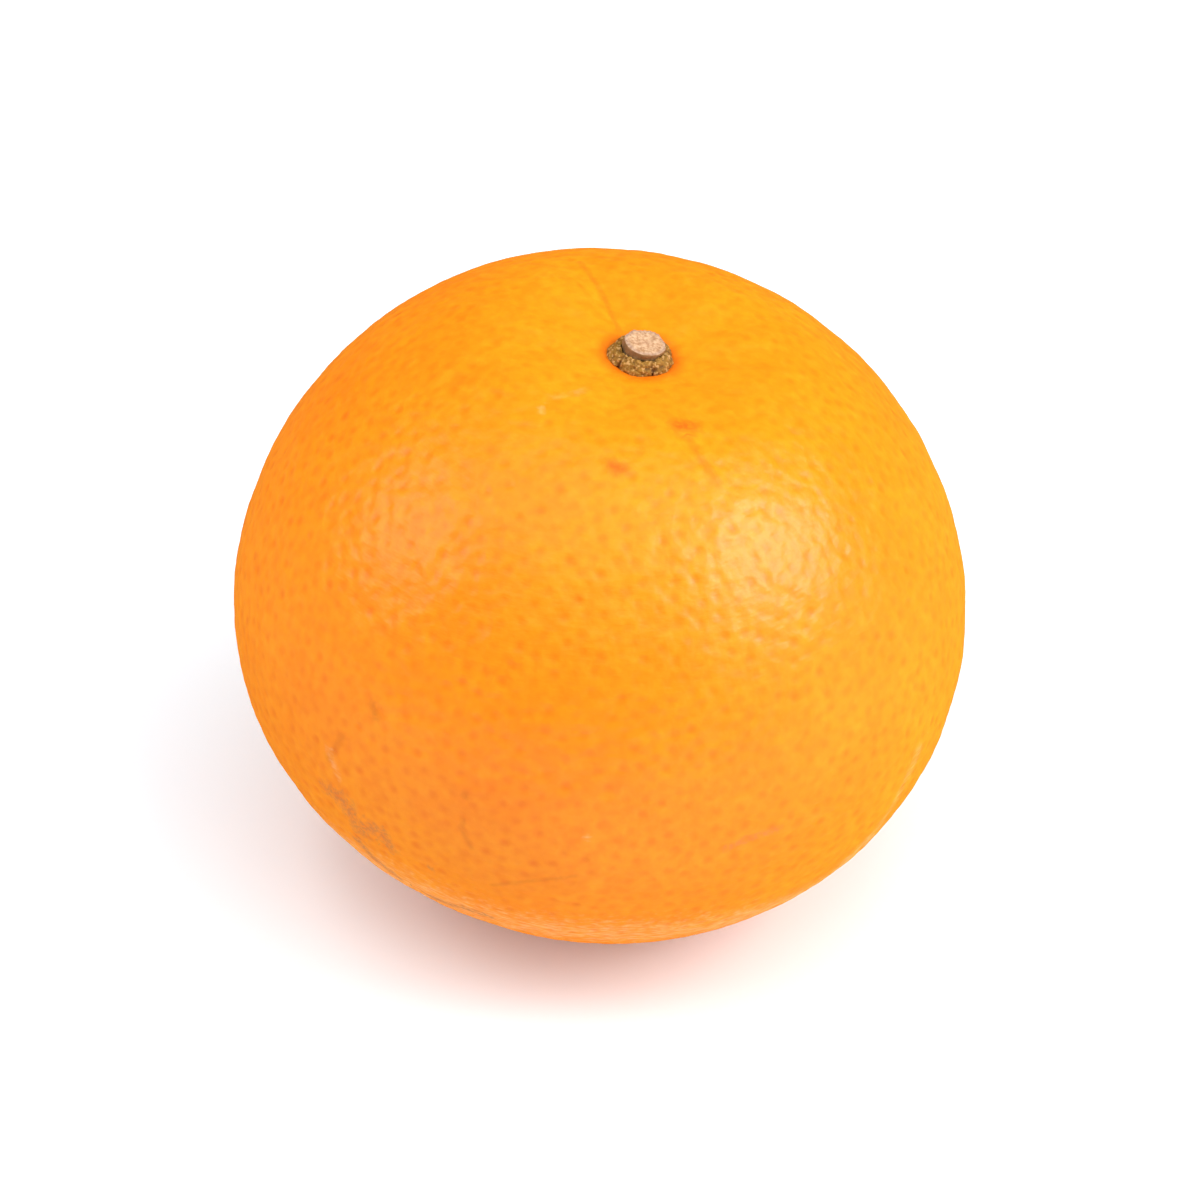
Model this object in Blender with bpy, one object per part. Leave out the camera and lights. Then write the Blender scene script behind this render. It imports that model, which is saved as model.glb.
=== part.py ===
"""A whole mandarin as picked: the fruit, its five-lobed calyx and the cut stub of its stem.

Metres, +Z up. The fruit stands on the small flat spot under it, and the origin is on that spot's plane,
under the middle of the fruit's outline. The stem axis leans a little, mostly towards +X, as the fruit lies.
"""

import math
import random

import bmesh
import bpy
from mathutils import Matrix, Vector, noise

MM = 0.001

# Driving dimensions of the fruit, in its own upright frame
HALF_WIDTH = 35.0 * MM
HALF_HEIGHT_STEM = 32.9 * MM  # before the stem hollow is pressed in
HALF_HEIGHT_BLOSSOM = 30.3 * MM
SQUARENESS = 2.02  # exponent of the outline, where 2 is an ellipse
LEAN = math.radians(7.8)
LEAN_AZIMUTH = math.radians(20.0)
FLAT_SPOT_PRESS = 0.8 * MM  # how far the lowest skin is pressed flat

# The slow swells and flats of the rind, as it stands: azimuth, elevation and height of each
SWELL_SPREAD = math.radians(24.0)
SWELLS = (
    (54, 44, 0.5 * MM),  # the right shoulder behind the stem
    (117, 50, 0.5 * MM),  # the left one, which stands up more
    (190, -11, 0.3 * MM),
    (228, -42, -0.2 * MM),  # the flatter lower left
    (293, -48, 0.2 * MM),
    (18, -22, 0.25 * MM),
    (92, -18, -0.35 * MM),
    (140, -35, 0.3 * MM),
)

# The hollow round the stem, the ribs that run out of it and the small seat of the calyx
STEM_HOLLOW_DEPTH = 3.7 * MM
STEM_HOLLOW_SPREAD = 7.7 * MM
FURROW_COUNT = 10  # one between every two segments inside
FURROW_DEPTH = 0.4 * MM
FURROW_HALF_WIDTH = 0.8 * MM  # at the stem
FURROW_WIDENING = 0.13
FURROW_PEAK = 9.0 * MM
FURROW_SPREAD = 5.5 * MM
CREASE_ANGLE = math.radians(112.0)  # the one furrow that is deep enough to see from the front
CREASE_DEPTH = 0.85 * MM
SEAT_DEPTH = 0.5 * MM
SEAT_RADIUS = 3.7 * MM
SEAT_EDGE = 0.16 * MM

# The blossom end
BLOSSOM_HOLLOW_DEPTH = 1.0 * MM
BLOSSOM_HOLLOW_SPREAD = 2.3 * MM

# The skin's mesh, and its oil-gland pits, which are wider apart here than the real ones
SKIN_CUTS = 22
STEM_END_ANGLE = math.radians(12.5)
STEM_END_CUTS = 2
SKIN_JITTER = 0.2  # share of an edge
PIT_DEPTH_LEAST = 0.15 * MM
PIT_DEPTH_MOST = 0.3 * MM
PIT_FREE_RADIUS = 8.4 * MM  # the skin right round the stem has no large pits

# The calyx and the stub of the stem
CALYX_LOBES = 5
CALYX_RADIUS = 3.15 * MM
CALYX_NOTCH_SHARE = 0.84
CALYX_HEIGHT = 1.3 * MM
CALYX_EDGE_HEIGHT = 0.55 * MM
CUP_RADIUS = 2.2 * MM
CUP_FLOOR = 0.45 * MM
CALYX_WART = 0.09 * MM
CALYX_TURN = math.radians(46.0)
CALYX_STEPS = 60
STUB_RADIUS = 1.9 * MM
STUB_HEIGHT = 1.35 * MM
STUB_STEPS = 36
STUB_SLANT = math.radians(3.0)
GAP = 0.3 * MM

FRUIT_ORANGE = (0.91, 0.32, 0.02, 1.0)
CALYX_OLIVE = (0.24, 0.15, 0.04, 1.0)
STUB_CREAM = (0.62, 0.44, 0.28, 1.0)

SEED = 11


def furrows():
    """(angle, depth) of each furrow that runs out from the stem: even spacing, then a seeded unevenness."""
    draw = random.Random(SEED)
    step = math.tau / FURROW_COUNT
    found = []
    for number in range(FURROW_COUNT):
        angle = CREASE_ANGLE + step * (number + draw.uniform(-0.12, 0.12) * (number > 0))
        found.append((angle, CREASE_DEPTH if number == 0 else FURROW_DEPTH * draw.uniform(0.5, 1.3)))
    return found


def furrow_depth(radius, angle, lines):
    """How far the skin lies in at this distance and angle round the stem, because of the furrows."""
    near = math.exp(-(((radius - FURROW_PEAK) / FURROW_SPREAD) ** 2))
    half_width = FURROW_HALF_WIDTH + FURROW_WIDENING * radius
    depth = 0.0
    for line_angle, line_depth in lines:
        away = math.remainder(angle - line_angle, math.tau)
        if abs(away) < math.pi / 2:
            depth += line_depth * math.exp(-((radius * math.sin(away) / half_width) ** 2))
    return depth * near


def swell(direction):
    """How far the rind stands out in this direction, as the fruit stands."""
    height = 0.0
    for azimuth, elevation, most in SWELLS:
        level = math.cos(math.radians(elevation))
        middle = Vector(
            (
                level * math.cos(math.radians(azimuth)),
                level * math.sin(math.radians(azimuth)),
                math.sin(math.radians(elevation)),
            )
        )
        height += most * math.exp(-0.5 * (direction.angle(middle) / SWELL_SPREAD) ** 2)
    return height


def skin_point(direction, lines, stance):
    """The standing place of the smooth skin's point in this direction of the fruit's upright frame."""
    side = math.hypot(direction.x, direction.y)
    half_height = HALF_HEIGHT_STEM if direction.z > 0 else HALF_HEIGHT_BLOSSOM
    across = (side / HALF_WIDTH) ** SQUARENESS
    up = (abs(direction.z) / half_height) ** SQUARENESS
    point = direction * (across + up) ** (-1 / SQUARENESS)
    radius = math.hypot(point.x, point.y)
    if direction.z > 0:
        point.z -= STEM_HOLLOW_DEPTH * math.exp(-0.5 * (radius / STEM_HOLLOW_SPREAD) ** 2)
        point.z -= furrow_depth(radius, math.atan2(point.y, point.x), lines)
        point.z -= SEAT_DEPTH / (1 + math.exp((radius - SEAT_RADIUS) / SEAT_EDGE))
    else:
        point.z += BLOSSOM_HOLLOW_DEPTH * math.exp(-0.5 * (radius / BLOSSOM_HOLLOW_SPREAD) ** 2)
    point = stance @ point
    return point + point.normalized() * swell(point)


def skin_directions():
    """A ball of unit directions in even triangles, finer round the stem."""
    ball = bmesh.new()
    bmesh.ops.create_icosphere(ball, subdivisions=1, radius=1.0)
    bmesh.ops.subdivide_edges(ball, edges=ball.edges[:], cuts=SKIN_CUTS, use_grid_fill=True)
    for vert in ball.verts:
        vert.co.normalize()
    edge = sum(e.calc_length() for e in ball.edges) / len(ball.edges)
    draw = random.Random(SEED)
    for vert in ball.verts:
        shift = Vector([draw.uniform(-1, 1) for _ in range(3)]) * SKIN_JITTER * edge
        vert.co = (vert.co + shift - shift.project(vert.co)).normalized()
    up = Vector((0, 0, 1))
    near = [e for e in ball.edges if all(v.co.angle(up) < STEM_END_ANGLE for v in e.verts)]
    bmesh.ops.subdivide_edges(ball, edges=near, cuts=STEM_END_CUTS, use_grid_fill=True)
    for vert in ball.verts:
        vert.co.normalize()
    bmesh.ops.triangulate(ball, faces=ball.faces[:])
    return ball


def pits(ball):
    """(vert, depth) of each pit: in a seeded order, every vertex that has no pit beside it."""
    draw = random.Random(SEED)
    order = list(ball.verts)
    draw.shuffle(order)
    taken = set()
    found = []
    for vert in order:
        if any(edge.other_vert(vert) in taken for edge in vert.link_edges):
            continue
        taken.add(vert)
        found.append((vert, draw.uniform(PIT_DEPTH_LEAST, PIT_DEPTH_MOST)))
    return found


def make_fruit(stance):
    """The fruit's mesh, standing. Returns its object and the shift that brought it onto the origin."""
    lines = furrows()
    ball = skin_directions()
    outward = {vert: vert.co.copy() for vert in ball.verts}
    for vert in ball.verts:
        vert.co = skin_point(outward[vert], lines, stance)
    floor = min(vert.co.z for vert in ball.verts) + FLAT_SPOT_PRESS
    pressed = {vert for vert in ball.verts if vert.co.z < floor}
    for vert, depth in pits(ball):
        upright = outward[vert]
        beside_stem = upright.z > 0 and math.hypot(upright.x, upright.y) * HALF_WIDTH < PIT_FREE_RADIUS
        on_spot = vert in pressed or any(e.other_vert(vert) in pressed for e in vert.link_edges)
        if not beside_stem and not on_spot:
            vert.co -= (stance @ upright) * depth
    for vert in pressed:
        vert.co.z = floor
    xs = [vert.co.x for vert in ball.verts]
    ys = [vert.co.y for vert in ball.verts]
    shift = -Vector(((min(xs) + max(xs)) / 2, (min(ys) + max(ys)) / 2, floor))
    bmesh.ops.translate(ball, verts=ball.verts[:], vec=shift)
    mesh = bpy.data.meshes.new("fruit")
    ball.to_mesh(mesh)
    ball.free()
    return shown("fruit", mesh, material("rind", FRUIT_ORANGE, 0.42)), shift


def turned(profile, steps):
    """A closed solid, turned round Z from a profile of (radius, height) points, top to bottom."""
    shape = bmesh.new()
    line = [shape.verts.new((radius, 0, height)) for radius, height in profile]
    edges = [shape.edges.new(pair) for pair in zip(line, line[1:])]
    bmesh.ops.spin(
        shape, geom=line + edges, axis=(0, 0, 1), cent=(0, 0, 0), steps=steps, angle=math.tau, use_merge=True
    )
    bmesh.ops.remove_doubles(shape, verts=shape.verts[:], dist=1e-6)
    bmesh.ops.recalc_face_normals(shape, faces=shape.faces[:])
    return shape


def lobed(radius, angle):
    """The factor that draws a point of the calyx in between its lobes, more the nearer it is to the edge."""
    lobe = abs(math.cos(CALYX_LOBES * angle / 2)) ** 0.6
    notch = CALYX_NOTCH_SHARE + (1 - CALYX_NOTCH_SHARE) * lobe
    edge = max(0.0, (radius - CUP_RADIUS) / (CALYX_RADIUS - CUP_RADIUS))
    return 1 + (notch - 1) * min(edge, 1.0)


def make_calyx():
    """The calyx: a shallow cup for the stub, with five blunt lobes pressed to the rind round it."""
    ridge = (CUP_RADIUS + CALYX_RADIUS) / 2
    shape = turned(
        [
            (0, CUP_FLOOR),
            (CUP_RADIUS - 0.1 * MM, CUP_FLOOR),
            (CUP_RADIUS, CALYX_HEIGHT - 0.1 * MM),
            (CUP_RADIUS + 0.18 * MM, CALYX_HEIGHT),
            (ridge, CALYX_HEIGHT - 0.22 * MM),
            (CALYX_RADIUS - 0.12 * MM, CALYX_EDGE_HEIGHT + 0.1 * MM),
            (CALYX_RADIUS, CALYX_EDGE_HEIGHT - 0.15 * MM),
            (CALYX_RADIUS - 0.1 * MM, 0.1 * MM),
            (CALYX_RADIUS - 0.5 * MM, 0),
            (0, 0),
        ],
        CALYX_STEPS,
    )
    for vert in shape.verts:
        radius = math.hypot(vert.co.x, vert.co.y)
        if radius > CUP_RADIUS:
            factor = lobed(radius, math.atan2(vert.co.y, vert.co.x))
            vert.co.x *= factor
            vert.co.y *= factor
        if vert.co.z > CUP_FLOOR:
            vert.co.z += CALYX_WART * noise.noise(vert.co / (0.7 * MM))
    mesh = bpy.data.meshes.new("calyx")
    shape.to_mesh(mesh)
    shape.free()
    mesh.shade_smooth()
    mesh.set_sharp_from_angle(angle=math.radians(40))
    return shown("calyx", mesh, material("calyx", CALYX_OLIVE, 0.75))


def make_stub():
    """The stub of the stem: a short peg with a bark ridge round its foot and a cut, slightly domed top."""
    shape = turned(
        [
            (0, STUB_HEIGHT - 0.03 * MM),
            (0.6 * STUB_RADIUS, STUB_HEIGHT),
            (STUB_RADIUS - 0.15 * MM, STUB_HEIGHT - 0.02 * MM),
            (STUB_RADIUS, STUB_HEIGHT - 0.18 * MM),
            (STUB_RADIUS - 0.12 * MM, 0.62 * STUB_HEIGHT),
            (STUB_RADIUS - 0.02 * MM, 0.46 * STUB_HEIGHT),
            (STUB_RADIUS - 0.14 * MM, 0.3 * STUB_HEIGHT),
            (STUB_RADIUS - 0.1 * MM, 0),
            (0, 0),
        ],
        STUB_STEPS,
    )
    slant = Matrix.Rotation(STUB_SLANT, 3, "Y")
    for vert in shape.verts:
        if vert.co.z > 0.7 * STUB_HEIGHT:
            vert.co = slant @ vert.co
    mesh = bpy.data.meshes.new("stem_stub")
    shape.to_mesh(mesh)
    shape.free()
    mesh.shade_smooth()
    mesh.set_sharp_from_angle(angle=math.radians(40))
    return shown("stem_stub", mesh, material("cut_stem", STUB_CREAM, 0.85))


def material(name, colour, roughness):
    made = bpy.data.materials.new(name)
    made.use_nodes = True
    shader = made.node_tree.nodes["Principled BSDF"]
    shader.inputs["Base Color"].default_value = colour
    shader.inputs["Roughness"].default_value = roughness
    shader.inputs["Metallic"].default_value = 0.0
    return made


def shown(name, mesh, finish):
    obj = bpy.data.objects.new(name, mesh)
    bpy.context.scene.collection.objects.link(obj)
    mesh.materials.append(finish)
    return obj


def main():
    for obj in list(bpy.data.objects):
        bpy.data.objects.remove(obj)
    stance = Matrix.Rotation(LEAN, 3, Vector((-math.sin(LEAN_AZIMUTH), math.cos(LEAN_AZIMUTH), 0)))
    fruit, shift = make_fruit(stance)
    fruit.data.shade_smooth()

    seat = skin_point(Vector((0, 0, 1)), furrows(), stance) + shift
    stem_end = bpy.data.objects.new("stem_end", None)
    bpy.context.scene.collection.objects.link(stem_end)
    stem_end.location = seat
    stem_end.rotation_euler = stance.to_euler()

    calyx = make_calyx()
    calyx.parent = stem_end
    calyx.location = (0, 0, GAP)
    calyx.rotation_euler = (0, 0, CALYX_TURN)

    stub = make_stub()
    stub.parent = stem_end
    stub.location = (0, 0, GAP + CUP_FLOOR + GAP)


main()
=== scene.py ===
"""The mandarin as it looks: pitted, waxed rind, a warty five-lobed calyx and the cut end of its stem.

Metres, +Z up. Sizes of the form are the solid's own, and each piece sits where its solid sits.
"""

import math
import random

import bmesh
import bpy
import numpy as np
from mathutils import Matrix, Vector, noise
from mathutils.kdtree import KDTree


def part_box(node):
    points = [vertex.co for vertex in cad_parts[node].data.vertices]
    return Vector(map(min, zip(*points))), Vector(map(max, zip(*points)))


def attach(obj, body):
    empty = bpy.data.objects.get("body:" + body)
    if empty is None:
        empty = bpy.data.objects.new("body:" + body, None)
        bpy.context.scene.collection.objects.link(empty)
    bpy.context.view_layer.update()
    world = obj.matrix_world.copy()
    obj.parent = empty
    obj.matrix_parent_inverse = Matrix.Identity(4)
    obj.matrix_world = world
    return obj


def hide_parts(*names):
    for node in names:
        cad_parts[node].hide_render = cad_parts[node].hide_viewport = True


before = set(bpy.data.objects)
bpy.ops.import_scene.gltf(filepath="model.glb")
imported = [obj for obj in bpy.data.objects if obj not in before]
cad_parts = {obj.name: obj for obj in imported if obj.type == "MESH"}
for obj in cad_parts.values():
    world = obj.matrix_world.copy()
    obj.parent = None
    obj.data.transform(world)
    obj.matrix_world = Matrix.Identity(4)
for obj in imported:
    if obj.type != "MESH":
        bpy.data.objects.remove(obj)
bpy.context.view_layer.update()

MM = 0.001
SEED = 23
FAR = 1.0  # further than any two places on the fruit

# The form, as in the solid
HALF_WIDTH = 35.0 * MM
HALF_HEIGHT_STEM = 32.9 * MM
HALF_HEIGHT_BLOSSOM = 30.3 * MM
SQUARENESS = 2.02
LEAN = math.radians(7.8)
LEAN_AZIMUTH = math.radians(20.0)
FLAT_SPOT_PRESS = 0.8 * MM
SWELL_SPREAD = math.radians(24.0)
SWELLS = (  # azimuth and elevation in degrees, then how far the rind stands out there
    (54, 44, 0.5 * MM),
    (117, 50, 0.5 * MM),
    (190, -11, 0.3 * MM),
    (228, -42, -0.2 * MM),
    (293, -48, 0.2 * MM),
    (18, -22, 0.25 * MM),
    (92, -18, -0.35 * MM),
    (140, -35, 0.3 * MM),
)
STEM_HOLLOW_DEPTH = 3.7 * MM
STEM_HOLLOW_SPREAD = 7.7 * MM
FURROW_COUNT = 10
FURROW_DEPTH = 0.4 * MM
FURROW_HALF_WIDTH = 0.8 * MM
FURROW_WIDENING = 0.13
FURROW_PEAK = 9.0 * MM
FURROW_SPREAD = 5.5 * MM
FURROW_SEED = 11
CREASE_ANGLE = math.radians(112.0)
CREASE_DEPTH = 0.85 * MM
SEAT_DEPTH = 0.5 * MM
BLOSSOM_HOLLOW_DEPTH = 1.0 * MM
BLOSSOM_HOLLOW_SPREAD = 2.3 * MM
GAP = 0.3 * MM
CUP_FLOOR = 0.45 * MM

# The rind's skin
SKIN_CUTS = 92
STEM_END_ANGLE = math.radians(11.0)
STEM_END_CUTS = 2
FLAT_SPOT_SOFTNESS = 0.16 * MM
FLAT_SPOT_REACH = 3.0 * MM  # the floor presses only what is lower than this
SEAT_CLOSE_RADIUS = 2.7 * MM  # the rind closes in under the calyx, where the solid keeps a gap
SEAT_EDGE_SOFTNESS = 0.12 * MM
GLAND_SPACING = 1.52 * MM  # the least way between two oil glands
GLAND_RADIUS = 0.58 * MM
GLAND_DEPTH = 0.1 * MM
GLAND_FREE_RADIUS = 3.9 * MM  # round the calyx
GLAND_CROWDING = 0.18  # how far their spacing wanders, as a share of it
GLAND_CROWD_SIZE = 9.0 * MM
FAINTEST_GLAND = 0.5  # as a share of the strongest
GLANDS_FADE = 0.8  # the share that they lose at the stem
GLANDS_FADE_WAY = 15.0 * MM  # from the stem
RIPPLE_DEPTH = 0.045 * MM
RIPPLE_SIZE = 1.0 * MM
DENT_DEPTH = 0.11 * MM
DENT_SIZE = 4.8 * MM
RELIEF_FADE = 0.6  # the share that ripples and dents lose at the stem
RELIEF_FADE_WAY = 5.0 * MM  # from the stem

# Where the skin is marked, set from the photograph and by guess behind: the kind of mark, half its
# width in mm, its strength, then its path as (azimuth, elevation) in degrees from the fruit's middle
MARKS = (
    ("rust", 1.1, 0.95, (-53, 68), (-48, 67)),
    ("rust", 0.5, 0.45, (-53, 65), (-56, 60), (-54, 56)),
    ("rust", 0.8, 0.9, (-86, 63), (-83, 62)),
    ("rust", 0.5, 0.4, (-128, 47)),
    ("rust", 0.5, 0.4, (-114, 50)),
    ("rust", 0.9, 0.3, (-164, 66)),
    ("rust", 0.9, 0.25, (-177, 42)),
    ("rust", 0.65, 0.5, (-129, 16), (-128, 15)),
    ("rust", 0.5, 0.32, (-134, 8), (-137, 2)),
    ("rust", 0.5, 0.4, (-111, 7)),
    ("rust", 0.4, 0.3, (-111, 2), (-112, 0), (-110, -3)),
    ("rust", 0.5, 0.3, (-22, 40)),
    # The thin dark line along the crease behind the calyx is painted shade in the crease, not rust
    ("rust", 0.35, 0.5, (72, 79), (82, 75), (88, 71), (93, 66), (97, 61)),
    ("pale", 0.4, 0.3, (-122, 71), (-123, 72)),
    ("pale", 0.5, 0.14, (-123, 75), (-105, 80)),
    ("pale", 0.6, 0.3, (-136, 4), (-135, 0)),
    ("pale", 0.4, 0.5, (-92, 2)),
    # The wide pale band along the low rim and its run up the right side are a painted reflection of the
    # floor, not scratches
    ("pale", 4.4, 0.52, (-147, -26), (-138, -23), (-125, -24), (-114, -26), (-99, -27), (-85, -28),
     (-70, -29), (-55, -32)),
    ("pale", 1.7, 0.6, (-66, -26), (-54, -29), (-44, -28), (-38, -21)),
    ("pale", 0.9, 0.3, (-38, -21), (-34, -13), (-31, -5)),
    ("scuff", 1.3, 0.62, (-137, -5), (-134, -5), (-133, -8), (-132, -11)),
    ("scuff", 1.0, 0.62, (-132, -11), (-128, -7), (-126, -8), (-126, -11)),
    ("scuff", 0.8, 0.85, (-134, -16), (-133, -19), (-131, -21), (-129, -24)),
    ("scuff", 0.9, 0.9, (-123, -27), (-119, -27), (-114, -25), (-111, -26)),
    ("scuff", 0.5, 0.5, (-118, -12)),
    ("scuff", 0.45, 0.5, (-70, -3), (-66, -2), (-62, -2)),
    ("rust", 0.35, 0.3, (-107, -12), (-102, -9), (-99, -8), (-94, -6)),
    ("scuff", 1.1, 0.5, (35, 20), (40, 14)),
    ("rust", 0.9, 0.5, (120, 5)),
    ("rust", 0.5, 0.28, (95, 30), (99, 24), (100, 19)),
    ("scuff", 0.5, 0.3, (150, -15), (154, -12), (156, -12)),
    ("scuff", 0.8, 0.3, (164, -12), (168, -9)),
    ("rust", 0.6, 0.4, (60, -15)),
    ("pale", 0.5, 0.4, (75, 8), (78, 2)),
    ("rust", 0.9, 1.0, (-160, -82)),  # the scar that the blossom left
)
MARK_KINDS = ("rust", "pale", "scuff")
MARK_FAR = 9.0  # half widths, where no mark of its kind is near

# The calyx and the stub of the stem
CALYX_LOBES = 5
CALYX_RADIUS = 3.12 * MM
CALYX_TURN = math.radians(46.0)
CALYX_STEPS = 180
LOBE_HALF_ANGLE = math.pi / CALYX_LOBES
LOBE_START = 2.0 * MM  # from the middle, where the lobes part
LOBE_BLUNTNESS = 0.06  # how much shorter a lobe is at its sides
LOBE_LIFT_FROM = 0.3 * MM  # what lies lower keeps its height
LOBE_LIFT_OVER = 0.5 * MM
NOTCH_HALF_WIDTH = 0.2 * MM
NOTCH_DEPTH = 0.17 * MM
NOTCH_INWARD = 0.07  # how far a notch cuts into the rim, as a share of its radius
WART_SIZE = 0.36 * MM
SMALL_WART_SIZE = 0.17 * MM
WART_HEIGHT = 0.15 * MM
STUB_RADIUS = 1.9 * MM
STUB_HEIGHT = 1.35 * MM
STUB_SLANT = math.radians(3.0)
STUB_BEND = 0.22 * MM
STUB_STEPS = 160
CUT_FACE_FROM = 0.7 * STUB_HEIGHT
FIBRE_WIDTH = 0.22 * MM
FIBRE_LENGTH = 1.2 * MM
FIBRE_HEIGHT = 0.06 * MM
STUB_LUMP_SIZE = 0.8 * MM
STUB_LUMP_HEIGHT = 0.13 * MM
STUB_WAVE = 0.1  # how far its outline wanders, as a share of its radius
STUB_WAVE_SIZE = 1.6 * MM

# The studio
PICTURE_SIDE = 1200.0
PICTURE_PIXELS_PER_MM = 10.4
CAMERA_ELEVATION = math.radians(40.0)
CAMERA_DISTANCE = 0.7
CAMERA_AIM = Vector((0, 0, 30.3)) * MM
SENSOR = 36.0  # mm
FLOOR_HALF_SIDE = 2.5
ROOM_LIGHT = 0.15
LAMPS = (  # name, direction from the fruit, distance, side of the lamp, power in watts
    ("right_softbox", (0.765, -0.16, 0.625), 0.8, 0.36, 3.2),
    ("right_wide_softbox", (0.765, -0.16, 0.625), 0.85, 0.75, 1.9),
    ("left_softbox", (-0.804, -0.063, 0.591), 0.9, 0.5, 2.2),
    ("overhead_scrim", (0.0, -0.1, 1.0), 1.1, 1.0, 5.3),
    ("front_scrim", (0.0, -0.6, 0.8), 1.1, 0.8, 1.9),
    ("right_front_scrim", (0.6, -0.6, 0.53), 1.0, 0.5, 2.4),
    ("right_high_scrim", (0.5, 0.0, 0.87), 1.0, 0.6, 1.0),
    ("left_high_scrim", (-0.5, 0.0, 0.87), 1.0, 0.6, 3.4),
    ("right_low_reflector", (0.95, -0.1, 0.25), 1.0, 0.4, 1.4),
)


# The form of the skin


def swell(points):
    """How far the rind stands out at each of these standing points."""
    unit = points / np.linalg.norm(points, axis=1)[:, None]
    height = np.zeros(len(points))
    for azimuth, elevation, most in SWELLS:
        apart = np.arccos(np.clip(unit @ facing(azimuth, elevation), -1, 1))
        height += most * np.exp(-0.5 * (apart / SWELL_SPREAD) ** 2)
    return height


def facing(azimuth, elevation):
    """The unit direction of an azimuth and an elevation in degrees."""
    across, up = math.radians(azimuth), math.radians(elevation)
    return np.array((math.cos(up) * math.cos(across), math.cos(up) * math.sin(across), math.sin(up)))


def furrow_lines():
    draw = random.Random(FURROW_SEED)
    step = math.tau / FURROW_COUNT
    found = []
    for number in range(FURROW_COUNT):
        angle = CREASE_ANGLE + step * (number + draw.uniform(-0.12, 0.12) * (number > 0))
        found.append((angle, CREASE_DEPTH if number == 0 else FURROW_DEPTH * draw.uniform(0.5, 1.3)))
    return found


def furrow_depth(radius, angle):
    half_width = FURROW_HALF_WIDTH + FURROW_WIDENING * radius
    depth = np.zeros(len(radius))
    for line_angle, line_depth in furrow_lines():
        away = np.remainder(angle - line_angle + math.pi, math.tau) - math.pi
        near = np.abs(away) < math.pi / 2
        depth += near * line_depth * np.exp(-((radius * np.sin(away) / half_width) ** 2))
    return depth * np.exp(-(((radius - FURROW_PEAK) / FURROW_SPREAD) ** 2))


def skin_points(unit, stance):
    """The smooth skin's standing points in these directions of the fruit's own upright frame."""
    side = np.hypot(unit[:, 0], unit[:, 1])
    upper = unit[:, 2] > 0
    half_height = np.where(upper, HALF_HEIGHT_STEM, HALF_HEIGHT_BLOSSOM)
    size = (side / HALF_WIDTH) ** SQUARENESS + (np.abs(unit[:, 2]) / half_height) ** SQUARENESS
    points = unit * (size ** (-1 / SQUARENESS))[:, None]
    radius = np.hypot(points[:, 0], points[:, 1])
    angle = np.arctan2(points[:, 1], points[:, 0])
    hollow = STEM_HOLLOW_DEPTH * np.exp(-0.5 * (radius / STEM_HOLLOW_SPREAD) ** 2)
    hollow += furrow_depth(radius, angle)
    hollow += SEAT_DEPTH / (1 + np.exp((radius - SEAT_CLOSE_RADIUS) / SEAT_EDGE_SOFTNESS))
    end = BLOSSOM_HOLLOW_DEPTH * np.exp(-0.5 * (radius / BLOSSOM_HOLLOW_SPREAD) ** 2)
    points[:, 2] += np.where(upper, -hollow, end)
    points = points @ np.array(stance).T
    return points + points / np.linalg.norm(points, axis=1)[:, None] * swell(points)[:, None]


def skin_ball():
    """Even triangles all round, finer at the stem end."""
    ball = bmesh.new()
    bmesh.ops.create_icosphere(ball, subdivisions=1, radius=1.0)
    bmesh.ops.subdivide_edges(ball, edges=ball.edges[:], cuts=SKIN_CUTS, use_grid_fill=True)
    for vert in ball.verts:
        vert.co.normalize()
    lowest = math.cos(STEM_END_ANGLE)
    near = [e for e in ball.edges if all(v.co.z > lowest for v in e.verts)]
    bmesh.ops.subdivide_edges(ball, edges=near, cuts=STEM_END_CUTS, use_grid_fill=True)
    bmesh.ops.triangulate(ball, faces=ball.faces[:])
    for vert in ball.verts:
        vert.co.normalize()
    return ball


def grain(points, size, seed):
    """Smooth noise between -1 and 1 at each point, in lumps of this size."""
    place = Vector((seed * 3.7, seed * 1.9, seed * 5.3))
    return np.array([noise.noise(Vector(point) / size + place) for point in points])


def scatter(points, spacing, allowed):
    """The numbers of evenly scattered points: in a seeded order, each that has none of them too near."""
    draw = random.Random(SEED)
    order = [number for number in range(len(points)) if allowed[number]]
    draw.shuffle(order)
    cells = {}
    keys = np.floor(points / spacing.max()).astype(int)
    kept = []
    around = [(x, y, z) for x in (-1, 0, 1) for y in (-1, 0, 1) for z in (-1, 0, 1)]
    for number in order:
        x, y, z = keys[number]
        here = points[number]
        least = spacing[number] ** 2
        crowded = False
        for step in around:
            for other in cells.get((x + step[0], y + step[1], z + step[2]), ()):
                apart = here - points[other]
                if apart @ apart < least:
                    crowded = True
                    break
            if crowded:
                break
        if not crowded:
            cells.setdefault((x, y, z), []).append(number)
            kept.append(number)
    return kept


def nearest(points, picked):
    """For each point, the number of the nearest picked one in their list."""
    tree = KDTree(len(picked))
    for place, number in enumerate(picked):
        tree.insert(points[number], place)
    tree.balance()
    return np.array([tree.find(point)[1] for point in points])


def rounded(line, rounds=3):
    """A drawn line with its corners cut, again and again, and its two ends kept."""
    for _ in range(rounds):
        cut = [np.array(line[0])]
        for start, end in zip(line, line[1:]):
            start, end = np.array(start), np.array(end)
            cut.append(0.75 * start + 0.25 * end)
            cut.append(0.25 * start + 0.75 * end)
        line = cut + [np.array(line[-1])]
    return line


def offset_to_line(points, ends):
    """From each point, the vector to the nearest place on a line through these points."""
    best = np.full(points.shape, FAR)
    for start, end in zip(ends, ends[1:] or ends):
        along = end - start
        share = np.clip((points - start) @ along / max(along @ along, 1e-12), 0, 1)
        offset = start + share[:, None] * along - points
        nearer = np.linalg.norm(offset, axis=1) < np.linalg.norm(best, axis=1)
        best[nearer] = offset[nearer]
    return best


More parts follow.
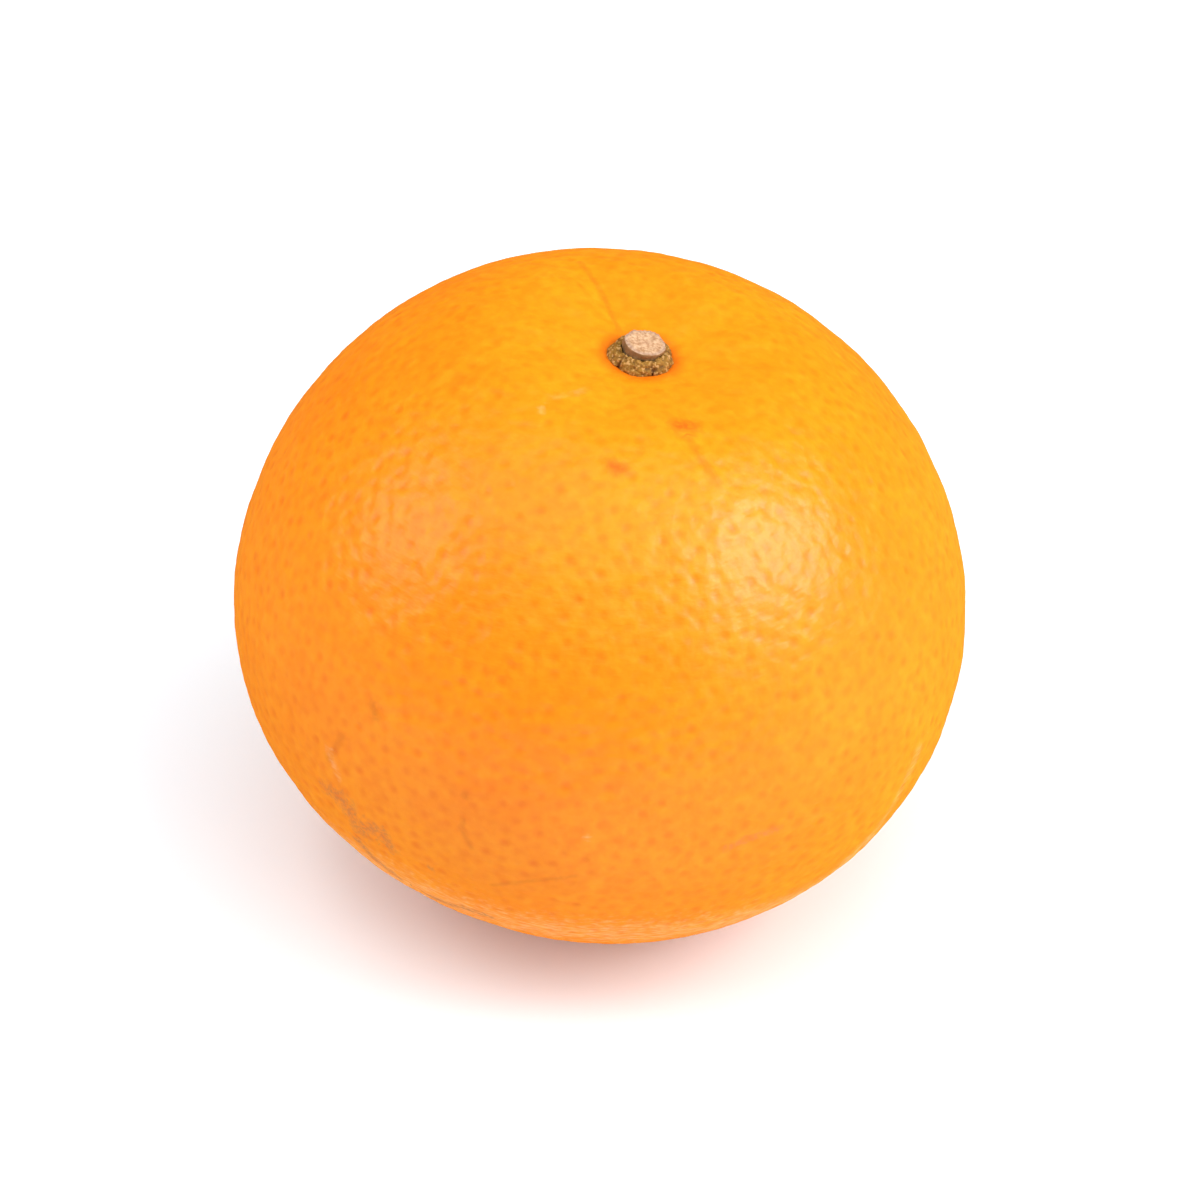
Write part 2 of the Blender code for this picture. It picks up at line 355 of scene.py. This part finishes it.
def marks(points, middle):
    """For each kind of mark, how strong it is near each point and the way to it in its own half widths."""
    found = {kind: (np.zeros(len(points)), np.full(points.shape, MARK_FAR)) for kind in MARK_KINDS}
    unit = (points - middle) / np.linalg.norm(points - middle, axis=1)[:, None]
    for kind, half_width, strength, *places in MARKS:
        ends = []
        for azimuth, elevation in places:
            ends.append(points[np.argmax(unit @ facing(azimuth, elevation))])
        offset = offset_to_line(points, rounded(ends, 2) if len(ends) > 2 else ends)
        offset /= half_width * MM
        away = np.linalg.norm(offset, axis=1)
        reach = 2 + 0.4 / half_width  # in half widths, past the mark's ragged edge
        near = (away < reach) & (away < np.linalg.norm(found[kind][1], axis=1))
        found[kind][0][near] = strength
        found[kind][1][near] = offset[near]
    return found


def give(mesh, name, values):
    """Stores one value, or one vector, for each point of the mesh."""
    vector = values.ndim == 2
    layer = mesh.attributes.new(name, "FLOAT_VECTOR" if vector else "FLOAT", "POINT")
    flat = np.ascontiguousarray(values, np.float32).ravel()
    layer.data.foreach_set("vector" if vector else "value", flat)


def make_rind(stance):
    """The whole skin as one closed mesh. Returns the shift that sets the standing form in its place."""
    ball = skin_ball()
    unit = np.array([vert.co for vert in ball.verts])
    mesh = bpy.data.meshes.new("rind_skin")
    ball.to_mesh(mesh)
    ball.free()

    points = skin_points(unit, stance)
    low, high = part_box("fruit")
    centre = (points.min(0) + points.max(0)) / 2
    floor = points[:, 2].min() + FLAT_SPOT_PRESS
    across = (low.x + high.x) / 2 - centre[0]
    along = (low.y + high.y) / 2 - centre[1]
    shift = np.array((across, along, low.z - floor))
    points += shift
    height = points[:, 2]
    pressed = 0.5 * (height + np.sqrt(height**2 + FLAT_SPOT_SOFTNESS**2))
    points[:, 2] = np.where(height < FLAT_SPOT_REACH, pressed - pressed.min(), height)
    mesh.vertices.foreach_set("co", points.astype(np.float32).ravel())
    mesh.update()
    normals = np.zeros(len(points) * 3, np.float32)
    mesh.vertex_normals.foreach_get("vector", normals)
    normals = normals.reshape(-1, 3)

    stem_way = np.where(unit[:, 2] > 0, np.hypot(unit[:, 0], unit[:, 1]) * HALF_WIDTH, FAR)
    crowd = GLAND_SPACING * (1 + GLAND_CROWDING * grain(points, GLAND_CROWD_SIZE, 4))
    glands = scatter(points, crowd, stem_way > GLAND_FREE_RADIUS)
    draw = random.Random(SEED + 1)
    vigour = np.array([FAINTEST_GLAND + (1 - FAINTEST_GLAND) * draw.random() ** 3 for _ in glands])
    owner = nearest(points, glands)
    offset = points[glands][owner] - points
    way = np.linalg.norm(offset, axis=1)
    vigour_here = vigour[owner] * (1 - GLANDS_FADE * np.exp(-((stem_way / GLANDS_FADE_WAY) ** 2)))

    depth = GLAND_DEPTH * vigour_here * np.exp(-((way / GLAND_RADIUS) ** 2))
    calm = 1 - RELIEF_FADE * np.exp(-((stem_way / RELIEF_FADE_WAY) ** 2))
    depth += RIPPLE_DEPTH * grain(points, RIPPLE_SIZE, 1) * calm
    depth += DENT_DEPTH * grain(points, DENT_SIZE, 2) * calm
    points -= normals * depth[:, None]
    points[:, 2] = np.maximum(points[:, 2], low.z)
    mesh.vertices.foreach_set("co", points.astype(np.float32).ravel())

    give(mesh, "gland_offset", offset / MM)
    give(mesh, "gland_way", way / MM)
    give(mesh, "gland_vigour", vigour_here)
    give(mesh, "stem_way", stem_way / MM)
    for kind, (strength, offset) in marks(points, shift).items():
        give(mesh, kind, strength)
        give(mesh, kind + "_offset", offset)
    mesh.shade_smooth()
    piece("rind_skin", mesh, waxed_citrus_rind(), "fruit")
    return shift


# The calyx and the stem


def turned(line, steps):
    """A closed shape turned round Z from a line of (radius, height), top to bottom."""
    shape = bmesh.new()
    verts = [shape.verts.new((radius, 0, height)) for radius, height in line]
    edges = [shape.edges.new(pair) for pair in zip(verts, verts[1:])]
    axis = (0, 0, 1)
    cent = (0, 0, 0)
    geom = verts + edges
    bmesh.ops.spin(shape, geom=geom, axis=axis, cent=cent, steps=steps, angle=math.tau, use_merge=True)
    bmesh.ops.remove_doubles(shape, verts=shape.verts[:], dist=1e-7)
    bmesh.ops.recalc_face_normals(shape, faces=shape.faces[:])
    return shape


def make_calyx(seat, stance):
    """Five blunt woody lobes pressed to the rind, warty all over, with deep lines between them."""
    # Radius and height, from the floor of the cup up over the rim and back below
    line = [
        (0, CUP_FLOOR),
        (1.7 * MM, CUP_FLOOR),
        (1.88 * MM, 0.6 * MM),
        (1.92 * MM, 1.22 * MM),
        (2.12 * MM, 1.36 * MM),
        (2.5 * MM, 1.18 * MM),
        (2.92 * MM, 0.82 * MM),
        (CALYX_RADIUS, 0.42 * MM),
        (CALYX_RADIUS, 0.1 * MM),
        (3.0 * MM, 0),
        (2.5 * MM, 0),
        (0, 0),
    ]
    shape = turned(rounded(line), CALYX_STEPS)
    draw = random.Random(SEED + 2)
    lobes = []  # each one's middle, reach and lift
    for number in range(CALYX_LOBES):
        middle = math.tau * (number + draw.uniform(-0.1, 0.1)) / CALYX_LOBES
        lobes.append((middle, draw.uniform(0.95, 1.03), draw.uniform(-0.12, 0.12) * MM))
    depths = {}
    for vert in shape.verts:
        radius = math.hypot(vert.co.x, vert.co.y)
        angle = math.atan2(vert.co.y, vert.co.x)
        ranked = sorted((abs(math.remainder(angle - lobe[0], math.tau)), lobe) for lobe in lobes)
        away, (_, reach, lift) = ranked[0]
        between = (ranked[1][0] - away) / 2 * radius
        outer = min(max((radius - LOBE_START) / (CALYX_RADIUS - LOBE_START), 0), 1)
        notch = math.exp(-((between / NOTCH_HALF_WIDTH) ** 2))
        loss = LOBE_BLUNTNESS * (away / LOBE_HALF_ANGLE) ** 2 + NOTCH_INWARD * notch
        pull = 1 + outer * (reach - 1 - loss)
        vert.co.x *= pull
        vert.co.y *= pull
        if vert.co.z > LOBE_LIFT_FROM and radius > STUB_RADIUS:
            rise = min((vert.co.z - LOBE_LIFT_FROM) / LOBE_LIFT_OVER, 1)
            vert.co.z += rise * (lift - NOTCH_DEPTH * notch * outer)
        depths[vert] = notch * outer
    shape.normal_update()
    shape.verts.ensure_lookup_table()
    moves = []
    for vert in shape.verts:
        wart = noise.noise(vert.co / WART_SIZE) + 0.6 * noise.noise(vert.co / SMALL_WART_SIZE)
        moves.append(max(wart, -0.6) if vert.co.z > 0.1 * MM else 0.0)
    for vert, move in zip(shape.verts, moves):
        vert.co += vert.normal * move * WART_HEIGHT
    # How deep each point lies in a line between the lobes, for the painted shade there
    crevice_shade = np.array([depths[vert] for vert in shape.verts])
    warts = np.array(moves)
    turn = stance @ Matrix.Rotation(CALYX_TURN, 3, "Z")
    place = Vector(seat) + stance @ Vector((0, 0, GAP))
    bmesh.ops.transform(shape, matrix=Matrix.Translation(place) @ turn.to_4x4(), verts=shape.verts[:])
    mesh = bpy.data.meshes.new("calyx_button")
    shape.to_mesh(mesh)
    shape.free()
    give(mesh, "crevice_shade", crevice_shade)
    give(mesh, "wart", warts)
    mesh.shade_smooth()
    piece("calyx_button", mesh, dry_calyx(), "calyx")


def make_stub(seat, stance):
    """The peg of the stem, a little wider at its cut, with a cut face that is slightly rough."""
    high = STUB_HEIGHT
    # Radius and height, from the middle of the cut down to the foot
    line = [
        (0, high - 0.05 * MM),
        (0.55 * STUB_RADIUS, high - 0.02 * MM),
        (STUB_RADIUS - 0.12 * MM, high),
        (STUB_RADIUS + 0.1 * MM, high - 0.04 * MM),
        (STUB_RADIUS + 0.1 * MM, high - 0.3 * MM),
        (STUB_RADIUS + 0.02 * MM, 0.62 * high),
        (STUB_RADIUS + 0.02 * MM, 0.5 * high),
        (STUB_RADIUS - 0.02 * MM, 0.36 * high),
        (STUB_RADIUS - 0.1 * MM, 0.28 * high),
        (STUB_RADIUS - 0.1 * MM, 0.05 * high),
        (STUB_RADIUS - 0.2 * MM, 0),
        (0, 0),
    ]
    shape = turned(rounded(line), STUB_STEPS)
    slant = Matrix.Rotation(STUB_SLANT, 3, "Y")
    shape.normal_update()
    face = []  # 0 on the bark, and on the cut the way from the pith, as a share of the radius
    for vert in shape.verts:
        radius = math.hypot(vert.co.x, vert.co.y)
        up = vert.normal.z
        along = vert.co.z / FIBRE_LENGTH
        fibre = noise.noise(Vector((vert.co.x / FIBRE_WIDTH, vert.co.y / FIBRE_WIDTH, along)))
        lump = noise.noise(vert.co / STUB_LUMP_SIZE)
        if vert.co.z > 0.05 * MM:
            vert.co += vert.normal * (FIBRE_HEIGHT * fibre + STUB_LUMP_HEIGHT * lump)
            wave = noise.noise(Vector((vert.co.x, vert.co.y, 0)) / STUB_WAVE_SIZE)
            outline = 1 + STUB_WAVE * wave * vert.co.z / high
            vert.co.x *= outline
            vert.co.y *= outline
            vert.co.x += STUB_BEND * vert.co.z / high
        level = min(max((up - 0.55) / 0.3, 0), 1)
        face.append(level * (vert.co.z > CUT_FACE_FROM) * min(radius / STUB_RADIUS, 1))
        if vert.co.z > CUT_FACE_FROM:
            vert.co = slant @ vert.co
    place = Vector(seat) + stance @ Vector((0, 0, GAP + CUP_FLOOR + GAP))
    bmesh.ops.transform(shape, matrix=Matrix.Translation(place) @ stance.to_4x4(), verts=shape.verts[:])
    cut = np.array([1.0 if value > 0 else 0.0 for value in face])
    mesh = bpy.data.meshes.new("cut_stem_end")
    shape.to_mesh(mesh)
    shape.free()
    give(mesh, "cut_face", cut)
    give(mesh, "from_pith", np.array(face))
    mesh.shade_smooth()
    piece("cut_stem_end", mesh, cut_twig(), "stem_stub")


# The materials


def hue(code):
    """An sRGB hex colour as linear light."""
    parts = [int(code[at : at + 2], 16) / 255 for at in (1, 3, 5)]
    return (*(part / 12.92 if part <= 0.04045 else ((part + 0.055) / 1.055) ** 2.4 for part in parts), 1.0)


def add(tree, kind, links=None, **settings):
    """Adds a node. links has, for each socket's name or number, a value or the output that feeds it."""
    made = tree.nodes.new("ShaderNode" + kind)
    for name, value in settings.items():
        setattr(made, name, value)
    for socket, value in (links or {}).items():
        if isinstance(value, bpy.types.NodeSocket):
            tree.links.new(value, made.inputs[socket])
        else:
            made.inputs[socket].default_value = value
    return made


def finish_of(name):
    """A new material, its node tree and its shader."""
    made = bpy.data.materials.new(name)
    made.use_nodes = True
    return made, made.node_tree, made.node_tree.nodes["Principled BSDF"]


def waxed_citrus_rind():
    """Flavedo under its own thin wax: orange, redder at each oil gland, with a soft broken gloss and with
    painted shade round the calyx and painted floor reflection low down.
    """
    made, tree, shader = finish_of("waxed_citrus_rind")
    place = add(tree, "TexCoord").outputs["Object"]

    # Ripeness wanders in patches of 17 mm, with flecks of 2.2 mm, a leathery mottle of 1.1 mm and lighter
    # patches of 1.5 mm. Each row: size in mm, detail, where the noise starts and ends, share and colour
    colour = hue("#F6850A")
    for size, detail, start, end, most, tint in (
        (17.0, 2.0, 0.35, 0.65, 1.0, "#F98E0E"),
        (2.2, 3.0, 0.45, 0.75, 0.3, "#F07808"),
        (1.1, 2.0, 0.40, 0.70, 0.4, "#EF7808"),
        (1.5, 2.0, 0.50, 0.75, 0.3, "#FC9E1C"),
    ):
        noisy = {"Vector": place, "Scale": 1 / (size * MM), "Detail": detail}
        cloud = add(tree, "TexNoise", noisy).outputs["Fac"]
        reach = {"Value": cloud, "From Min": start, "From Max": end, "To Max": most}
        share = add(tree, "MapRange", reach).outputs["Result"]
        colour = add(tree, "Mix", {0: share, 6: colour, 7: hue(tint)}, data_type="RGBA").outputs[2]

    # Oil glands: soft dots about 1 mm across, some strong and most faint, and faintest round the stem
    offset = add(tree, "Attribute", attribute_name="gland_offset").outputs["Vector"]
    straight = add(tree, "VectorMath", {0: offset}, operation="LENGTH").outputs["Value"]
    way = add(tree, "Attribute", attribute_name="gland_way").outputs["Fac"]
    least = add(tree, "Math", {0: way, 1: 0.85}, operation="MULTIPLY").outputs["Value"]
    longer = add(tree, "Math", {0: straight, 1: least}, operation="MAXIMUM").outputs["Value"]
    soft = {"Value": longer, "From Min": 0.05, "From Max": 0.76, "To Min": 1.0, "To Max": 0.0}
    pit = add(tree, "MapRange", soft, interpolation_type="SMOOTHSTEP").outputs["Result"]
    vigour = add(tree, "Attribute", attribute_name="gland_vigour").outputs["Fac"]
    dot = add(tree, "Math", {0: pit, 1: vigour}, operation="MULTIPLY").outputs["Value"]
    share = add(tree, "Math", {0: dot, 1: 0.62}, operation="MULTIPLY").outputs["Value"]
    colour = add(tree, "Mix", {0: share, 6: colour, 7: hue("#EB6C05")}, data_type="RGBA").outputs[2]

    # Weathering and painted light: rust scuffs and painted shade along the crease behind the calyx, pale
    # dry scratches and a painted reflection of the floor along the low rim, and dull brown rubs, each
    # broken up in lumps of 0.6 mm, in specks of 0.35 mm or in level streaks
    lumpy = {"Vector": place, "Scale": 1 / (0.6 * MM), "Detail": 3.0}
    lumps = add(tree, "TexNoise", lumpy).outputs["Fac"]
    speckled = {"Vector": place, "Scale": 1 / (0.35 * MM), "Detail": 2.0}
    specks = add(tree, "TexNoise", speckled).outputs["Fac"]
    flat = add(tree, "VectorMath", {0: place, 1: (1.0, 1.0, 4.5)}, operation="MULTIPLY").outputs["Vector"]
    streaky = {"Vector": flat, "Scale": 1 / (1.33 * MM), "Detail": 3.0}
    streaks = add(tree, "TexNoise", streaky).outputs["Fac"]
    for kind, tint, least, grain_of, start, end in (
        # The rust tint also paints the shade along the crease behind the calyx
        ("rust", "#BE5410", 0.45, lumps, 0.35, 0.65),
        # The pale tint also paints the reflection of the floor along the low rim
        ("pale", "#FFC486", 0.12, streaks, 0.40, 0.64),
        ("scuff", "#BE6E42", 0.3, specks, 0.38, 0.62),
    ):
        strength = add(tree, "Attribute", attribute_name=kind).outputs["Fac"]
        offset = add(tree, "Attribute", attribute_name=kind + "_offset").outputs["Vector"]
        away = add(tree, "VectorMath", {0: offset}, operation="LENGTH").outputs["Value"]
        ragged = add(tree, "Math", {0: lumps, 1: 2.3, 2: away}, operation="MULTIPLY_ADD").outputs["Value"]
        soft = {"Value": ragged, "From Min": 1.2, "From Max": 2.6, "To Min": 1.0, "To Max": 0.0}
        edge = add(tree, "MapRange", soft, interpolation_type="SMOOTHSTEP").outputs["Result"]
        reach = {"Value": grain_of, "From Min": start, "From Max": end, "To Min": least, "To Max": 1.0}
        broken = add(tree, "MapRange", reach).outputs["Result"]
        inside = add(tree, "Math", {0: strength, 1: edge}, operation="MULTIPLY").outputs["Value"]
        share = add(tree, "Math", {0: inside, 1: broken}, operation="MULTIPLY").outputs["Value"]
        colour = add(tree, "Mix", {0: share, 6: colour, 7: hue(tint)}, data_type="RGBA").outputs[2]

    # Painted shade: the skin is darker round the calyx, where it dips under it
    stem = add(tree, "Attribute", attribute_name="stem_way").outputs["Fac"]
    calyx_shade_reach = {"Value": stem, "From Min": 2.8, "From Max": 5.2, "To Min": 0.9, "To Max": 0.0}
    share = add(tree, "MapRange", calyx_shade_reach, interpolation_type="SMOOTHSTEP").outputs["Result"]
    colour = add(tree, "Mix", {0: share, 6: colour, 7: hue("#C85E0A")}, data_type="RGBA").outputs[2]

    # Relief: a pit at each oil gland, leathery lumps of 1.6 to 1.8 mm, and level wrinkles across them
    pits = {"Height": dot, "Strength": 1.0, "Distance": 0.03 * MM}
    pitted = add(tree, "Bump", pits, invert=True).outputs["Normal"]
    rumples = {"Vector": place, "Scale": 1 / (1.56 * MM), "Detail": 1.5}
    rumpled = add(tree, "TexNoise", rumples).outputs["Fac"]
    cells = {"Vector": place, "Scale": 1 / (1.8 * MM), "Smoothness": 0.8}
    grown = add(tree, "TexVoronoi", cells, feature="SMOOTH_F1").outputs["Distance"]
    leather = add(tree, "Math", {0: grown, 1: -0.7, 2: rumpled}, operation="MULTIPLY_ADD").outputs["Value"]
    swollen = {"Height": leather, "Strength": 1.0, "Distance": 0.17 * MM, "Normal": pitted}
    coarse = add(tree, "Bump", swollen).outputs["Normal"]
    creased = {"Height": streaks, "Strength": 1.0, "Distance": 0.035 * MM, "Normal": coarse}
    fine = add(tree, "Bump", creased).outputs["Normal"]

    tree.links.new(colour, shader.inputs["Base Color"])
    tree.links.new(fine, shader.inputs["Normal"])
    tree.links.new(fine, shader.inputs["Coat Normal"])
    # The wax is a coat of low weight and high IOR. It mirrors as much face on as real wax does, and less at
    # the rims, where the photographed fruit stays deep orange
    for socket, value in (
        ("Specular IOR Level", 0.0),
        ("Coat Weight", 0.2),
        ("Coat Roughness", 0.36),
        ("Coat IOR", 2.3),
        ("Subsurface Weight", 0.12),
        ("Subsurface Radius", (1.0, 0.35, 0.08)),
        ("Subsurface Scale", 1.2 * MM),
    ):
        shader.inputs[socket].default_value = value
    return made


def dry_calyx():
    """Dry calyx tissue: olive brown and matt, pale on its warts, with painted shade in the hollows between
    the warts and a dark red-brown painted shade down in the lines.
    """
    made, tree, shader = finish_of("dry_calyx")
    place = add(tree, "TexCoord").outputs["Object"]
    cloud = add(tree, "TexNoise", {"Vector": place, "Scale": 1 / (0.9 * MM), "Detail": 3.0}).outputs["Fac"]
    colour = add(tree, "Mix", {0: cloud, 6: hue("#6C480C"), 7: hue("#A07222")}, data_type="RGBA").outputs[2]
    wart = add(tree, "Attribute", attribute_name="wart").outputs["Fac"]
    reach = {"Value": wart, "From Min": 0.2, "From Max": 0.8, "To Max": 0.62}
    tip = add(tree, "MapRange", reach).outputs["Result"]
    colour = add(tree, "Mix", {0: tip, 6: colour, 7: hue("#C08E46")}, data_type="RGBA").outputs[2]
    # Painted shade in the low spots between the warts
    reach = {"Value": wart, "From Min": -0.2, "From Max": -0.6, "To Max": 0.6}
    low = add(tree, "MapRange", reach).outputs["Result"]
    colour = add(tree, "Mix", {0: low, 6: colour, 7: hue("#40240C")}, data_type="RGBA").outputs[2]
    # Painted shade down in the lines between the lobes
    crevice_shade = add(tree, "Attribute", attribute_name="crevice_shade").outputs["Fac"]
    share = add(tree, "Math", {0: crevice_shade, 1: 0.75}, operation="MULTIPLY").outputs["Value"]
    colour = add(tree, "Mix", {0: share, 6: colour, 7: hue("#3C1408")}, data_type="RGBA").outputs[2]
    flaky = {"Vector": place, "Scale": 1 / (0.28 * MM), "Detail": 1.0}
    flakes = add(tree, "TexNoise", flaky).outputs["Fac"]
    for start, end, most, tint in ((0.56, 0.66, 0.5, "#DCAC70"), (0.42, 0.34, 0.42, "#4A2412")):
        reach = {"Value": flakes, "From Min": start, "From Max": end, "To Max": most}
        share = add(tree, "MapRange", reach).outputs["Result"]
        colour = add(tree, "Mix", {0: share, 6: colour, 7: hue(tint)}, data_type="RGBA").outputs[2]
    pore = add(tree, "TexNoise", {"Vector": place, "Scale": 1 / (0.17 * MM), "Detail": 2.0}).outputs["Fac"]
    bump = add(tree, "Bump", {"Height": pore, "Strength": 0.6, "Distance": 0.04 * MM}).outputs[0]
    tree.links.new(colour, shader.inputs["Base Color"])
    tree.links.new(bump, shader.inputs["Normal"])
    shader.inputs["Roughness"].default_value = 0.78
    return made


def cut_twig():
    """A dried citrus twig end: blotched cream cut wood, its rim lilac grey, and brown bark at its side."""
    made, tree, shader = finish_of("cut_twig")
    place = add(tree, "TexCoord").outputs["Object"]
    cloud = add(tree, "TexNoise", {"Vector": place, "Scale": 1 / (0.67 * MM), "Detail": 4.0}).outputs["Fac"]
    bark = add(tree, "Mix", {0: cloud, 6: hue("#6E5430"), 7: hue("#987650")}, data_type="RGBA").outputs[2]
    fibre = add(tree, "TexNoise", {"Vector": place, "Scale": 1 / (0.31 * MM), "Detail": 3.0}).outputs["Fac"]
    blotch = add(tree, "MapRange", {"Value": fibre, "From Min": 0.36, "From Max": 0.64}).outputs["Result"]
    wood = add(tree, "Mix", {0: blotch, 6: hue("#A67A54"), 7: hue("#D2AC88")}, data_type="RGBA").outputs[2]
    pith_way = add(tree, "Attribute", attribute_name="from_pith").outputs["Fac"]
    reach = {"Value": pith_way, "From Min": 0.36, "From Max": 0.1, "To Max": 0.3}
    pith = add(tree, "MapRange", reach).outputs["Result"]
    wood = add(tree, "Mix", {0: pith, 6: wood, 7: hue("#A06A48")}, data_type="RGBA").outputs[2]
    reach = {"Value": pith_way, "From Min": 0.78, "From Max": 1.0, "To Max": 0.55}
    rim = add(tree, "MapRange", reach).outputs["Result"]
    wood = add(tree, "Mix", {0: rim, 6: wood, 7: hue("#94796E")}, data_type="RGBA").outputs[2]
    cut = add(tree, "Attribute", attribute_name="cut_face").outputs["Fac"]
    colour = add(tree, "Mix", {0: cut, 6: bark, 7: wood}, data_type="RGBA").outputs[2]
    bump = add(tree, "Bump", {"Height": fibre, "Strength": 0.7, "Distance": 0.08 * MM}).outputs["Normal"]
    tree.links.new(colour, shader.inputs["Base Color"])
    tree.links.new(bump, shader.inputs["Normal"])
    shader.inputs["Roughness"].default_value = 0.85
    return made


def lit_white_board():
    """Matt studio board, a cool white, with a faint light of its own as on a lit product table."""
    made, tree, shader = finish_of("lit_white_board")
    shader.inputs["Base Color"].default_value = hue("#ECF4F9")
    shader.inputs["Roughness"].default_value = 0.9
    shader.inputs["Emission Color"].default_value = hue("#ECF6FF")
    shader.inputs["Emission Strength"].default_value = 0.1
    return made


def piece(name, mesh, finish, node):
    """Shows a mesh as a finished piece that stands for a node of the solid."""
    shown = bpy.data.objects.new(name, mesh)
    bpy.context.scene.collection.objects.link(shown)
    mesh.materials.append(finish)
    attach(shown, "root")
    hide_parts(node)


# The studio


def make_studio():
    floor = bmesh.new()
    bmesh.ops.create_grid(floor, x_segments=1, y_segments=1, size=FLOOR_HALF_SIDE)
    mesh = bpy.data.meshes.new("studio_floor")
    floor.to_mesh(mesh)
    floor.free()
    mesh.materials.append(lit_white_board())
    ground = bpy.data.objects.new("studio_floor", mesh)
    bpy.context.scene.collection.objects.link(ground)
    ground.visible_glossy = False  # the wax stays deep in colour low down

    for name, towards, way, size, power in LAMPS:
        lamp = bpy.data.lights.new(name, "AREA")
        lamp.size = size
        lamp.energy = power
        shown = bpy.data.objects.new(name, lamp)
        bpy.context.scene.collection.objects.link(shown)
        direction = Vector(towards).normalized()
        shown.location = CAMERA_AIM + direction * way
        shown.rotation_euler = direction.to_track_quat("Z", "Y").to_euler()
        shown.visible_camera = False
        shown.visible_glossy = "softbox" in name  # the wax mirrors the softboxes alone

    world = bpy.data.worlds.new("studio_room")
    world.use_nodes = True
    room = world.node_tree.nodes["Background"]
    room.inputs["Color"].default_value = (1.0, 1.0, 1.0, 1.0)
    room.inputs["Strength"].default_value = ROOM_LIGHT
    bpy.context.scene.world = world


def make_camera():
    lens = bpy.data.cameras.new("photo_camera")
    lens.sensor_width = SENSOR
    lens.lens = SENSOR * CAMERA_DISTANCE / (PICTURE_SIDE / PICTURE_PIXELS_PER_MM * MM)
    lens.clip_start = 0.01
    shown = bpy.data.objects.new("photo_camera", lens)
    bpy.context.scene.collection.objects.link(shown)
    back = Vector((0, -math.cos(CAMERA_ELEVATION), math.sin(CAMERA_ELEVATION)))
    shown.location = CAMERA_AIM + back * CAMERA_DISTANCE
    shown.rotation_euler = back.to_track_quat("Z", "Y").to_euler()
    bpy.context.scene.camera = shown


def main():
    stance = Matrix.Rotation(LEAN, 3, Vector((-math.sin(LEAN_AZIMUTH), math.cos(LEAN_AZIMUTH), 0)))
    make_camera()
    shift = make_rind(stance)
    seat = (skin_points(np.array([(0.0, 0.0, 1.0)]), stance) + shift)[0]
    make_calyx(seat, stance)
    make_stub(seat, stance)
    make_studio()
    view = bpy.context.scene.view_settings
    view.view_transform = "Standard"
    view.look = "None"


main()
